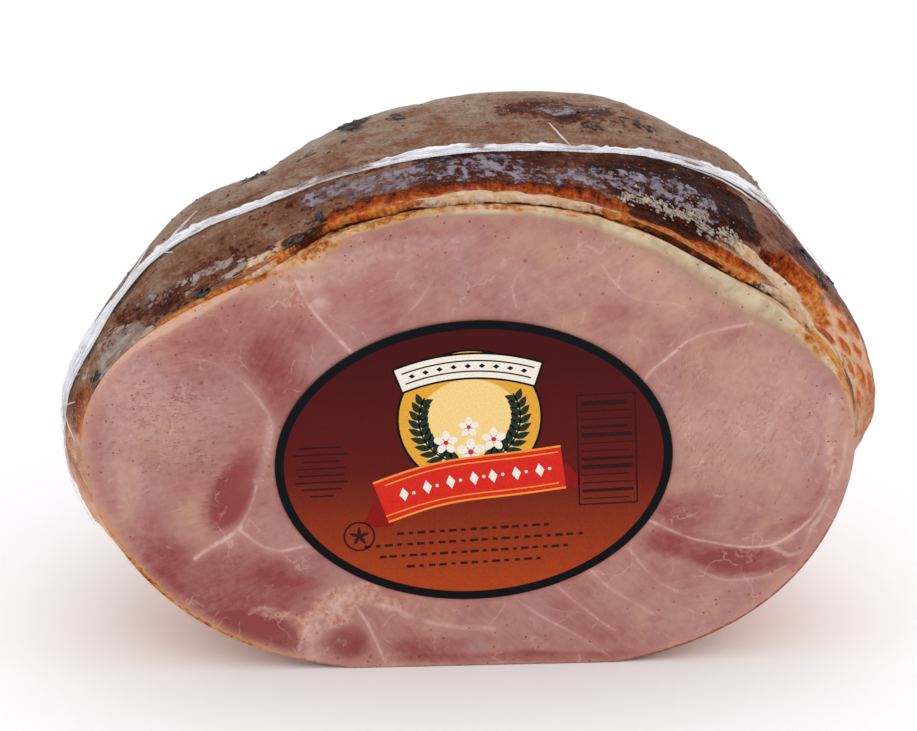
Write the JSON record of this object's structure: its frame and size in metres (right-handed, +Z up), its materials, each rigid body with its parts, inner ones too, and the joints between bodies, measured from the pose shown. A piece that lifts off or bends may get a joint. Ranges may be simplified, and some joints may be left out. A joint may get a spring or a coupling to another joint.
{
  "type": "glazed ham",
  "caption": "Half of a spiral-sliced glazed ham on its side in tight clear film, cut face forward, dark sugared rind on top and an oval sticker on the cut.",
  "frame": {"origin": "on the flat underside, at the middle of its width, 60 mm behind the cut face", "axes": "+X along the cut face to its right, -Y out of the cut face, +Z up"},
  "size_m": [0.2727, 0.1692, 0.1743],
  "materials": {
    "cured_meat": "moist pink cured meat with a white fat rim and a dark sugar glaze on the rind, under clear film",
    "film": "thin clear shrink film, glossy, with fine stretch lines and a white welded seam",
    "sticker": "coated paper sticker printed maroon to orange with a dark edge"
  },
  "bodies": {
    "root": {"ham_in_film": "cured_meat", "film_seam": "film", "label": "sticker"}
  },
  "joints": []
}
